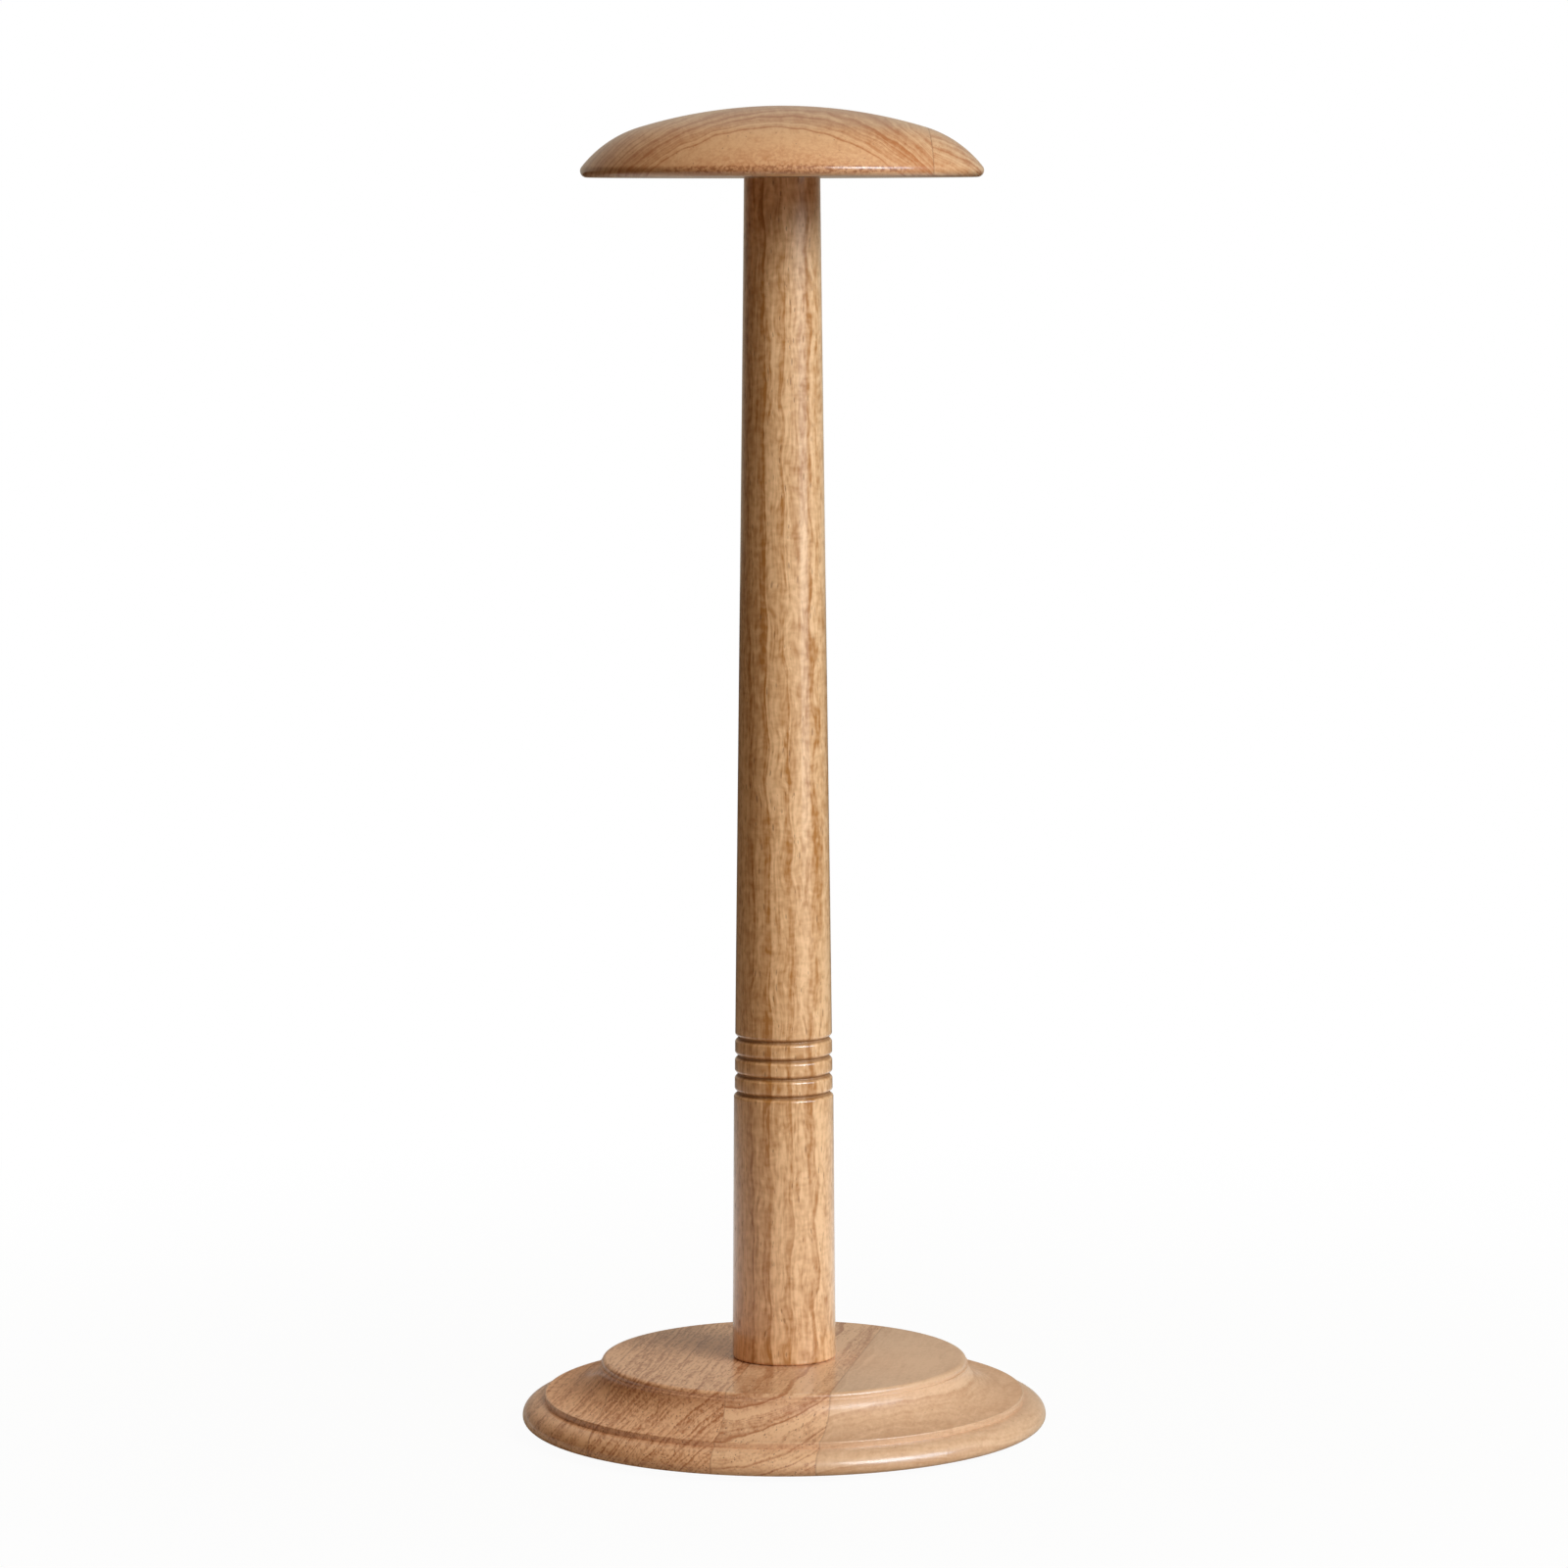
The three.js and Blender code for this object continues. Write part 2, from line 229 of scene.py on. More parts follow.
# %% Make and join nodes
class NodeMaker:
    """Makes nodes in one tree. An input may be a number, a colour or another node's output."""

    def __init__(self, tree):
        self.tree = tree

    def node(self, kind, settings=None, **inputs):
        made = self.tree.nodes.new(kind)
        for name, value in (settings or {}).items():
            setattr(made, name, value)
        self.feed(made.inputs, **inputs)
        return made

    def feed(self, sockets, **values):
        for name, value in values.items():
            self.join(sockets[name.replace("_", " ")], value)

    def join(self, socket, value):
        if isinstance(value, bpy.types.NodeSocket):
            self.tree.links.new(value, socket)
        else:
            socket.default_value = value

    def group(self, tree, **inputs):
        return self.node("ShaderNodeGroup", {"node_tree": tree}, **inputs).outputs

    def math(self, operation, *values, clamp=False):
        made = self.node("ShaderNodeMath", {"operation": operation, "use_clamp": clamp})
        for socket, value in zip(made.inputs, values):
            self.join(socket, value)
        return made.outputs[0]

    def product(self, first, *others):
        for other in others:
            first = self.math("MULTIPLY", first, other)
        return first

    def highest(self, first, *others):
        for other in others:
            first = self.math("MAXIMUM", first, other)
        return first

    def ramp(self, value, low, high, to_low=0.0, to_high=1.0):
        """value taken from the range low to high to the range to_low to to_high, smoothly."""
        made = self.node("ShaderNodeMapRange", {"interpolation_type": "SMOOTHSTEP"}, Value=value)
        self.feed(made.inputs, From_Min=low, From_Max=high, To_Min=to_low, To_Max=to_high)
        return made.outputs[0]

    def mix(self, share, first, second):
        """A colour between two colours, the node's inputs 6 and 7. It comes out of output 2."""
        made = self.node("ShaderNodeMix", {"data_type": "RGBA"})
        for index, value in ((0, share), (6, first), (7, second)):
            self.join(made.inputs[index], value)
        return made.outputs[2]


print("steps on numbers:", *[name for name in vars(NodeMaker) if name[0] != "_"])

# %% [markdown]
# Most patterns start from a place, the three numbers that say where a point lies. So the bench
# that the finishes are made on can also stretch places, take them apart and draw a noise there.

# %% A bench for nodes
class Bench(NodeMaker):
    """A maker of nodes that works on places too."""

    def vector(self, operation, *values):
        made = self.node("ShaderNodeVectorMath", {"operation": operation})
        for socket, value in zip(made.inputs, values):
            self.join(socket, value)
        return made.outputs[1 if operation in ("DOT_PRODUCT", "LENGTH") else 0]

    def scaled(self, vector, by):
        made = self.node("ShaderNodeVectorMath", {"operation": "SCALE"}, Vector=vector, Scale=by)
        return made.outputs[0]

    def combined(self, x, y, z):
        return self.node("ShaderNodeCombineXYZ", X=x, Y=y, Z=z).outputs[0]

    def part(self, vector, axis):
        return self.node("ShaderNodeSeparateXYZ", Vector=vector).outputs[axis]

    def stretched(self, place, size, shift):
        """place / size + shift, part by part. A noise drawn there has grains of that size."""
        return self.vector("MULTIPLY_ADD", place, tuple(1 / side for side in size), shift)

    def noise(self, place, detail=2.0, roughness=0.5):
        settings = dict(Scale=1.0, Detail=detail, Roughness=roughness)
        return self.node("ShaderNodeTexNoise", Vector=place, **settings).outputs

    def raised(self, height, by):
        """The direction of a surface raised by height times so many metres."""
        made = self.node("ShaderNodeBump", Strength=1.0, Distance=by, Height=height)
        return made.outputs[0]


print("steps on places:", *[name for name in vars(Bench) if name[0] != "_"])

# %% An empty group
def new_group(name, inputs, outputs):
    """An empty node group with named sockets, its bench and its input and output nodes."""
    tree = bpy.data.node_groups.new(name, "ShaderNodeTree")
    for label, default in inputs.items():
        kind = "NodeSocketVector" if isinstance(default, tuple) else "NodeSocketFloat"
        socket = tree.interface.new_socket(label, in_out="INPUT", socket_type=kind)
        socket.default_value = default
    for label in outputs:
        tree.interface.new_socket(label, in_out="OUTPUT", socket_type="NodeSocketFloat")
    given, put = tree.nodes.new("NodeGroupInput"), tree.nodes.new("NodeGroupOutput")
    return Bench(tree), given.outputs, put.inputs


def finished(bench):
    print(bench.tree.name, "has", len(bench.tree.nodes), "nodes")
    return bench.tree


# %% [markdown]
# ## Growth rings
# A tree adds one ring a year round its pith. Each ring starts pale and open and ends in a thin
# dense brown line. A board is a slice through those nested tubes, so its figure depends only on
# where the pith ran. That makes rings a solid pattern: the distance from a leaning pith line
# counts the rings, and the fraction of the count says how far into its year the wood is there. A
# young tree grows fast, so inside the core the rings are ten times as wide and show no brown
# line. A slow noise bends the tubes, since no trunk is perfectly round, and bands of finer and
# coarser wood follow them.

# %% Growth rings: counting the years
ZERO = (0.0, 0.0, 0.0)
HALF = (0.5, 0.5, 0.5)
ring_inputs = {
    "Place": ZERO, "Pith": ZERO, "Lean": ZERO, "Ring width": 3.0, "Core": 0.0, "Phase": 0.0,
    "Dense share": 0.35, "Wander": 2.0, "Seed": 0.0,
}
ring_outputs = ["Late wood", "Early wood", "Year tone", "Bands", "Outside"]
TRUNK_BENDS = (38, 120, 38)
CORE_RINGS = 0.1
CORE_EDGE = 0.3

bench, given, put = new_group("growth rings", ring_inputs, ring_outputs)
place = bench.stretched(given["Place"], TRUNK_BENDS, given["Seed"])
slow = bench.vector("SUBTRACT", bench.noise(place, 1.0)["Color"], HALF)
slow = bench.scaled(slow, given["Wander"])
along = bench.part(given["Place"], "Y")
pith = bench.vector("ADD", given["Pith"], bench.scaled(given["Lean"], along))
offset = bench.vector("ADD", bench.vector("SUBTRACT", given["Place"], pith), slow)
distance = bench.vector("LENGTH", bench.vector("MULTIPLY", offset, (1.0, 0.0, 1.0)))
beyond = bench.math("SUBTRACT", distance, given["Core"])
outside = bench.ramp(beyond, -CORE_EDGE, 0.0)
grown = bench.highest(beyond, 0.0)
grown = bench.math("MULTIPLY_ADD", bench.math("MINIMUM", beyond, 0.0), CORE_RINGS, grown)
years = bench.math("ADD", bench.math("DIVIDE", grown, given["Ring width"]), given["Phase"])
print("nodes that count the years:", len(bench.tree.nodes))

# %% [markdown]
# Each year now gets its own random tone and strength of line. The line rises slowly, falls at
# once when the next spring's wood begins, and is darkest just before that.

# %% Growth rings: line, tone and bands
LINE_AT = 0.93
SPRING_END = 0.4
FAINTEST_LINE = 0.4
BAND_WIDTH, BAND_LENGTH = 0.7, 26.0

age = bench.math("FRACT", years)
count = bench.math("FLOOR", years)
year = bench.node("ShaderNodeTexWhiteNoise", {"noise_dimensions": "1D"}, W=count).outputs["Value"]
rise = bench.ramp(age, bench.math("SUBTRACT", LINE_AT, given["Dense share"]), LINE_AT)
fall = bench.ramp(age, LINE_AT, 1.0, 1.0, 0.0)
line = bench.product(bench.math("POWER", rise, 2.0), fall, outside)
strength = bench.math("MULTIPLY_ADD", year, 1 - FAINTEST_LINE, FAINTEST_LINE)
spring = bench.ramp(age, 0.0, SPRING_END, 1.0, 0.0)
band_x, band_y = bench.math("DIVIDE", grown, BAND_WIDTH), bench.math("DIVIDE", along, BAND_LENGTH)
bands = bench.noise(bench.combined(band_x, band_y, given["Seed"]))["Fac"]
bench.feed(
    put, Late_wood=bench.product(line, strength), Early_wood=bench.product(spring, outside),
    Outside=outside, Year_tone=year, Bands=bands,
)
RINGS = finished(bench)

# %% [markdown]
# ## Pores and fibre
# The vessels of a hardwood run along the grain. Where the surface cuts one open it leaves a short
# dark dash, and at the end of a board only a dot. A pattern of random cells, drawn out along the
# grain, does both: the spot round each cell's point is a long thin ellipsoid, and the surface cuts
# it wherever it happens to pass. Each cell also draws a random size for its pore.

# %% Pores
SMALL_SHARE, SMALLEST_PORE = 0.2, 0.2
PORE_HEART = 0.45
pore_inputs = {"Place": ZERO, "Width": 1.2, "Length": 8.0, "Size": 0.2, "Seed": 0.0}

bench, given, put = new_group("pores", pore_inputs, ["Pore"])
narrow, long = (bench.math("DIVIDE", 1.0, given[side]) for side in ("Width", "Length"))
scale = bench.combined(narrow, long, narrow)
place = bench.vector("MULTIPLY_ADD", given["Place"], scale, given["Seed"])
cells = bench.node("ShaderNodeTexVoronoi", Vector=place, Scale=1.0).outputs
chance = bench.part(cells["Color"], "X")
reach = bench.product(given["Size"], bench.ramp(chance, SMALL_SHARE, 1.0, SMALLEST_PORE, 1.0))
inner = bench.product(reach, PORE_HEART)
bench.join(put["Pore"], bench.ramp(cells["Distance"], inner, reach, 1.0, 0.0))
PORES = finished(bench)

# %% [markdown]
# Fibre is what lies between the pores: fine mottle, long streaks, and curl, the short ripple
# across the grain where fibres rise and dip. Each is a noise drawn out to its own size, given
# here in millimetres across, along and through the board.

# %% Fibre
FIBRE_SIZES = {"Mottle": (0.8, 3.0, 0.8), "Streaks": (2.5, 36.0, 2.5), "Curl": (2.2, 1.2, 2.2)}
FINE_STREAKS = 2.0

bench, given, put = new_group("fibre", {"Place": ZERO, "Seed": 0.0}, list(FIBRE_SIZES))
for label, size in FIBRE_SIZES.items():
    place = bench.stretched(given["Place"], size, given["Seed"])
    detail = FINE_STREAKS if label == "Streaks" else 1.0
    bench.join(put[label], bench.noise(place, detail)["Fac"])
FIBRE = finished(bench)

# %% [markdown]
# ## Glue lines
# Two boards meet in a line of glue that is thinner than a hair, yet it shows, because the glue
# and the dust in it are darker than the wood. The pieces nearly touch, so a gap would hardly
# show. The line is painted instead, on both boards, and fades 0.4 millimetres from the plane.

# %% Glue lines
FAR = 1000.0
GLUE_CORE, GLUE_FADE = 0.08, 0.4

bench, given, put = new_group("glue line", {"Place": ZERO, "Low": -FAR, "High": FAR}, ["Line"])
across = bench.part(given["Place"], "X")
low, high = (bench.math("SUBTRACT", across, given[side]) for side in ("Low", "High"))
nearest = bench.math("MINIMUM", bench.math("ABSOLUTE", low), bench.math("ABSOLUTE", high))
bench.join(put["Line"], bench.ramp(nearest, GLUE_CORE, GLUE_FADE, 1.0, 0.0))
GLUE_LINE = finished(bench)

# %% [markdown]
# ## Lacquered wood
# Every wooden piece is the same timber from another part of the tree, so one function makes the
# finish and each board brings its own look: its pith, rings and tone. A picture of wood laid over
# each piece would break at every edge, while a solid pattern runs on over mouldings and ends.
# These are the values a board has where its look says nothing else.

# %% A plain look
PLAIN_LOOK = dict(
    # The pith's place and lean, the rings round it, and the seed of the noises.
    pith=(0, 0, -50), lean=ZERO, ring=3.0, core=0.0, phase=0.0, dense=0.35, wander=1.5, seed=0.0,
    # Pale wood, brown wood, and how far each part of the figure goes between them.
    pale=(0.76, 0.40, 0.215), brown=(0.42, 0.155, 0.06), ground=0.25, late=0.5, tone=0.15,
    bands=0.8, streaks=0.5, mottle=0.6, curl=0.2, coarse=1.0, waver=0.3,
    # Pores: their reach and darkness, and the width and length of their cells.
    pores=0.2, pore_dark=0.5, dash=(1.5, 6.0),
    # End grain: its darkness, and how soon that fades off square. Then the coat's weight.
    end_dark=0.4, end_sharp=4.0, coat=0.55,
    # The glue lines' places across, and the hollows with the darkness painted in them, shade and
    # dust.
    joints=(-FAR, FAR), hollow=lambda bench, place: 0.0, hollow_dark=0.0,
)
print("values in a look:", len(PLAIN_LOOK))

# %% [markdown]
# ## The figure
# All the figure adds up to one share of brown in pale wood: late wood, bands, streaks, mottle and
# curl. The grain wavers a little, so the place is bent by a slow noise before anything is drawn.
# Long pores lie everywhere, and small ones fill the early wood of each year.

# %% The figure
BEND_SIZE = (5, 13, 5)
BEND = 4
SPECK = (0.8, 3.5)
SPECK_SEED = 7


def bent(bench, look, straight):
    """The place with a slow noise added, so that the grain wavers."""
    seed = (look["seed"],) * 3
    sway = bench.noise(bench.stretched(straight, BEND_SIZE, seed), 0.0)["Color"]
    sway = bench.scaled(bench.vector("SUBTRACT", sway, HALF), BEND * look["waver"])
    return bench.vector("ADD", straight, sway)


def ring_pattern(bench, look, place):
    """The growth rings at a place, by a board's look."""
    return bench.group(
        RINGS, Place=place, Pith=look["pith"], Lean=look["lean"], Ring_width=look["ring"],
        Core=look["core"], Phase=look["phase"], Dense_share=look["dense"], Wander=look["wander"],
        Seed=look["seed"],
    )


def pore_pattern(bench, look, place, early_wood):
    """1 in a pore and 0 beside it."""
    cells = (*look["dash"], look["seed"]), (*SPECK, look["seed"] + SPECK_SEED)
    dashes, specks = (
        bench.group(PORES, Place=place, Width=width, Length=length, Size=look["pores"], Seed=seed)
        for width, length, seed in cells
    )
    return bench.highest(dashes["Pore"], bench.product(specks["Pore"], early_wood))


def brown_share(bench, look, rings, fibre):
    """Late wood and ground, plus (pattern - 1/2) times twice its strength for each of the five
    patterns, kept between 0 and 1."""
    ground = bench.product(rings["Outside"], look["ground"])
    share = bench.math("MULTIPLY_ADD", rings["Late wood"], look["late"], ground)
    patterns = {
        "tone": rings["Year tone"], "bands": rings["Bands"], "streaks": fibre["Streaks"],
        "mottle": fibre["Mottle"], "curl": fibre["Curl"],
    }
    for key, pattern in patterns.items():
        sway = bench.math("SUBTRACT", pattern, 0.5)
        share = bench.math("MULTIPLY_ADD", sway, 2 * look[key], share)
    return bench.math("MAXIMUM", share, 0.0, clamp=True)


print("the grain bends over about", BEND_SIZE[1], "millimetres")

# %% [markdown]
# ## End grain and marks
# Where the surface cuts across the grain it drinks more finish and comes out darker, in drops,
# and darkest where the cut is square. How much of the surface's direction lies along the grain
# says how square the cut is. Pores, glue lines, the painted shade and dust in narrow hollows, and
# the wettest drops are marks, and where two marks meet the stronger one shows.

# %% End grain and marks
DROP_SIZE = 1.1
DROP_EDGE = (0.35, 0.65)
DRIEST_DROP = 0.5
WET_FROM, WET_DARK = 0.6, 0.5
GLUE_DARK = 0.3


def end_grain(bench, look, straight, grain):
    """How much finish the wood has drunk: |normal . grain|^sharpness, times drops of noise."""
    normal = bench.node("ShaderNodeNewGeometry").outputs["Normal"]
    euler = {"rotation_type": "EULER_XYZ"}
    facing = bench.node("ShaderNodeVectorRotate", euler, Vector=normal, Rotation=grain).outputs[0]
    square = bench.math("ABSOLUTE", bench.part(facing, "Y"))
    soaked = bench.math("POWER", square, look["end_sharp"])
    soaked = bench.math("MULTIPLY", soaked, look["end_dark"], clamp=True)
    drops = bench.noise(bench.scaled(straight, 1 / DROP_SIZE))["Fac"]
    return bench.product(soaked, bench.ramp(drops, *DROP_EDGE, DRIEST_DROP, 1.0))


def dark_marks(bench, look, straight, pores, ends, hollow):
    """The strongest of a pore, a glue line, a hollow's painted shade and dust, and a wet drop of
    end grain.
    """
    low, high = look["joints"]
    glue = bench.group(GLUE_LINE, Place=straight, Low=low, High=high)["Line"]
    return bench.highest(
        bench.product(pores, look["pore_dark"]),
        bench.product(glue, GLUE_DARK),
        # A hollow's darkness is painted shade, with some dust.
        bench.product(hollow, look["hollow_dark"]),
        bench.ramp(ends, WET_FROM, 1.0, 0.0, WET_DARK),
    )


print("end grain at 45 degrees keeps", 0.5 ** (PLAIN_LOOK["end_sharp"] / 2), "of its darkness")

# %% [markdown]
# ## The lacquer
# The lacquer is the shader's coat, a clear smooth film over wood that is itself only half smooth.
# A hollow can't be rubbed down as well as a round, so the coat is duller there, and the narrow
# ones are darkened with painted shade, where little light reaches, and with the stain and dust
# that gather there. A hollow is a small function of the place, and a look can bring its own.

# %% Lacquered wood
TO_MM = 1000.0
MARK_COLOUR = 0.5
WOOD_ROUGHNESS = (0.42, 0.58)
COAT_ROUGHNESS = 0.12
DULL_COAT = 0.2
RELIEF = 0.00006
MOTTLE_RELIEF = 0.3


def new_material(name):
    """A material, the bench of its nodes and the inputs of its shader."""
    material = bpy.data.materials.new(name)
    material.use_nodes = True
    shader = material.node_tree.nodes["Principled BSDF"]
    print("finish:", name)
    return material, Bench(material.node_tree), shader.inputs


def lacquered_wood(name, grain, **changes):
    """The timber's finish for one board. grain turns the row frame so that its second axis runs
    along the grain. The look's pith and lean are (across, 0, up) in millimetres in that frame."""
    look = PLAIN_LOOK | changes
    material, bench, shader = new_material(name)
    spot = bench.node("ShaderNodeTexCoord").outputs["Object"]
    along_grain = bench.node("ShaderNodeMapping", Vector=spot, Rotation=grain, Scale=(TO_MM,) * 3)
    straight = along_grain.outputs[0]
    place = bent(bench, look, straight)
    rings = ring_pattern(bench, look, place)
    fibre = bench.group(FIBRE, Place=bench.scaled(place, 1 / look["coarse"]), Seed=look["seed"])
    pores = pore_pattern(bench, look, place, rings["Early wood"])
    ends = end_grain(bench, look, straight, grain)
    hollow = look["hollow"](bench, bench.scaled(spot, TO_MM))
    marks = dark_marks(bench, look, straight, pores, ends, hollow)

    pale, brown = (*look["pale"], 1), (*look["brown"], 1)
    mark_colour = (*(MARK_COLOUR * part for part in look["brown"]), 1)
    colour = bench.mix(brown_share(bench, look, rings, fibre), pale, brown)
    sunk = bench.product(marks, -1.0)
    height = bench.math("MULTIPLY_ADD", fibre["Mottle"], MOTTLE_RELIEF, sunk)
    bench.feed(
        shader,
        Base_Color=bench.mix(marks, bench.mix(ends, colour, brown), mark_colour),
        Roughness=bench.ramp(bench.highest(pores, ends, hollow), 0.0, 1.0, *WOOD_ROUGHNESS),
        Normal=bench.raised(height, RELIEF),
        Coat_Weight=bench.ramp(bench.highest(pores, hollow), 0.0, 1.0, look["coat"], DULL_COAT),
        Coat_Roughness=COAT_ROUGHNESS,
    )
    return material


# %% [markdown]
# ## The base
# The base is a disc glued up from five staves and then turned in one piece, so its moulding runs
# across every glue line without a step. The moulding has a small lower round, an ovolo, a fillet,
# a deep cove and a raised step. It could be five modelled wedges, but then the moulding would
# have to match at each joint. Here the disc is turned first and parted along the same planes as
# the real blank, which makes it match by itself.

# %% The base's outline
PAD_THICKNESS = 2.0
BASE_SIDES = 288
SINK_RADIUS, SINK_DEPTH = 12.5, 8.9
BOLT_HOLE = 4.3
STEP_TOP = 20.7

# Radius and height above the wood's underside, from the counterbore outwards, up the moulding,
# and back down the hole for the bolt.
lower_round = arc((82.8, 2.2), 2.2, 2.2, -90, 0, 8)
ovolo = arc((78.1, 2.2), 6.9, 5.1, 0, 90, 32)[1:]
fillet = [(77.8, 7.3, 0.1), (77.8, 9.4, 0.45)]
deep_cove = arc((77.2, 18.6), 17.4, 9.2, 270, 180, 40)
step_foot = (59.2, 18.6, 0.2)
step_edge = arc((57.5, 19.5), 1.7, 1.2, 0, 90, 12)
base_profile = eased([
    (SINK_RADIUS, 0, 0), *lower_round, *ovolo, *fillet, *deep_cove, step_foot, *step_edge,
    (BOLT_HOLE, STEP_TOP, 0), (BOLT_HOLE, SINK_DEPTH, 0), (SINK_RADIUS, SINK_DEPTH, 0),
]) + (0, PAD_THICKNESS)
base_blank = mesh_of("base_blank", *turned(base_profile, BASE_SIDES, closed=True))
print("base outline points:", len(base_profile), "blank faces:", len(base_blank.polygons))

# %% [markdown]
# ## Parting a blank
# A saw cut is a plane. The bisect operator cuts a mesh along a plane and drops one side, and the
# open edge it leaves is filled with one flat face, so each board is closed and could be taken out
# on its own. The two faces of a glue line lie a hundredth of a millimetre from the plane.

# %% Part a blank
GLUE = 0.01


def parted(blank, name, low, high, turn):
    """The part of a blank between two upright planes. low and high are millimetres across, along
    the direction (cos turn, sin turn). A plane beyond the blank leaves that side whole."""
    across = Vector((math.cos(turn), math.sin(turn), 0))
    work = bmesh.new()
    work.from_mesh(blank)
    for place, side in ((low, -1), (high, 1)):
        cut = bmesh.ops.bisect_plane(
            work,
            geom=work.verts[:] + work.edges[:] + work.faces[:],
            plane_co=across * (place - side * GLUE) * MM,
            plane_no=across * side,
            clear_outer=True,
        )
        rim = [part for part in cut["geom_cut"] if isinstance(part, bmesh.types.BMEdge)]
        if rim:
            bmesh.ops.edgeloop_fill(work, edges=rim)
    bmesh.ops.recalc_face_normals(work, faces=work.faces)
    mesh = bpy.data.meshes.new(name)
    work.to_mesh(mesh)
    work.free()
    smoothed(mesh)
    return mesh


print("gap between two boards:", 2 * GLUE, "millimetres")

# %% [markdown]
# ## The staves
# Each stave comes from another plank, so its rings cut the surface at another slope. In the
# middle one they climb to the right and draw long arcs across the cove. The left ones are cut
# steeper, with fine slanting streaks, and the right ones are quiet. The last glue line can't be
# seen on the real base, so it is cut here and left unpainted.

# %% The staves' looks
RED = dict(
    pale=(0.76, 0.39, 0.20), brown=(0.40, 0.14, 0.05), pores=0.32, pore_dark=0.7, dash=(0.9, 3.0)
)
QUIET = dict(
    pale=(0.75, 0.435, 0.25), brown=(0.47, 0.21, 0.09), ring=6.0, seed=4.9, bands=0.35,
    mottle=0.25, streaks=0.25, pores=0.12,
)
STAVES = [
    RED | dict(pith=(10, 0, -50), ring=1.6, seed=1.3, late=0.4, mottle=0.9),
    RED | dict(
        pith=(41, 0, -56), ring=1.5, dense=0.65, seed=2.1, late=0.48, bands=1.3, mottle=1.1,
        waver=0.35, pores=0.34, pore_dark=0.8,
    ),
    dict(
        pith=(-12, 0, 78), ring=3.5, phase=0.79, dense=0.3, wander=0.8, seed=3.7,
        pale=(0.78, 0.43, 0.23), late=0.8, tone=0.25, pores=0.32, pore_dark=0.7, dash=(1.0, 4.0),
    ),
    QUIET | dict(pith=(45, 0, -90), late=0.25),
    QUIET | dict(pith=(60, 0, -90), late=0.1),
]
print("staves:", len(STAVES))

# %% The staves
BASE_TURN = math.radians(-10)
BASE_GRAIN = (0.0, 0.0, -BASE_TURN)
HIDDEN_JOINT = 62.05
STAVE_EDGES = [-FAR, -51.0, -8.5, 24.225, HIDDEN_JOINT, FAR]
COVE_INNER = (59.3, 60.3)
COVE_OUTER = (76.5, 78.0)


def cove(bench, place):
    """1 in the cove, between its two edges' distances from the axis."""
    radius = bench.vector("LENGTH", bench.vector("MULTIPLY", place, (1.0, 1.0, 0.0)))
    return bench.product(bench.ramp(radius, *COVE_INNER), bench.ramp(radius, *COVE_OUTER, 1.0, 0.0))


for index, (low, high, look) in enumerate(zip(STAVE_EDGES, STAVE_EDGES[1:], STAVES), 1):
    look = look | dict(joints=[FAR if edge == HIDDEN_JOINT else edge for edge in (low, high)])
    finish = lacquered_wood(f"lacquered stave {index}", BASE_GRAIN, hollow=cove, **look)
    mesh = parted(base_blank, f"stave_{index}", low, high, BASE_TURN)
    piece(mesh, f"base_stave_{index}", finish)

# %% [markdown]
# ## The pole
# The pole is one length of the same wood. Its drum is a little thicker than the taper above, four
# V-shaped cuts part the two, and the taper swells as a faint S to the cap. Both ends are bored
# for the fixings. The outline starts and ends on the axis inside those bores, so the surface is
# closed.

# %% The cuts and the taper
POLE_LENGTH = 380.7
DRUM_RADIUS = 16.1
TAPER_RADII = (15.85, 14.703, 13.26, 12.15)
FIRST_CUT = 87.0
CUT_PITCH = 5.95
CUT_COUNT = 4
CUT_DEPTH = 1.1
LIP, SHOULDER = 1.3, 0.95
SHOULDER_DROP = 0.175


def taper_radius(height):
    """The cubic (1-t)^3 a + 3t(1-t)^2 b + 3t^2(1-t) c + t^3 d through the four taper radii, with t
    the share of the way from the first cut to the top."""
    t = (height - FIRST_CUT) / (POLE_LENGTH - FIRST_CUT)
    a, b, c, d = TAPER_RADII
    return (1 - t) ** 3 * a + 3 * t * (1 - t) ** 2 * b + 3 * t**2 * (1 - t) * c + t**3 * d


def cut_corners(index):
    """One V cut as five corners: its two lips, its two shoulders and its bottom."""
    centre = FIRST_CUT + index * CUT_PITCH
    below = DRUM_RADIUS if index == 0 else taper_radius(centre - LIP)
    above = taper_radius(centre + LIP)
    return [
        (below, centre - LIP, 0.2),
        (below - SHOULDER_DROP, centre - SHOULDER, 0.15),
        (taper_radius(centre) - CUT_DEPTH, centre, 0.25),
        (above - SHOULDER_DROP, centre + SHOULDER, 0.15),
        (above, centre + LIP, 0.2),
    ]


print("radius at the pole's top:", round(taper_radius(POLE_LENGTH), 2))

# %% [markdown]
# The bore in the foot is wide for an insert nut and then narrow for the bolt's end. The bore in
# the top takes the stud.

# %% The pole's outline
POLE_FOOT = 22.7
POLE_SIDES = 160
TAPER_STEPS = 80
NUT_BORE, STUD_BORE = 6.55, 3.8
NUT_BORE_END, FOOT_BORE_END, STUD_BORE_END = 18.8, 34.6, 349.8

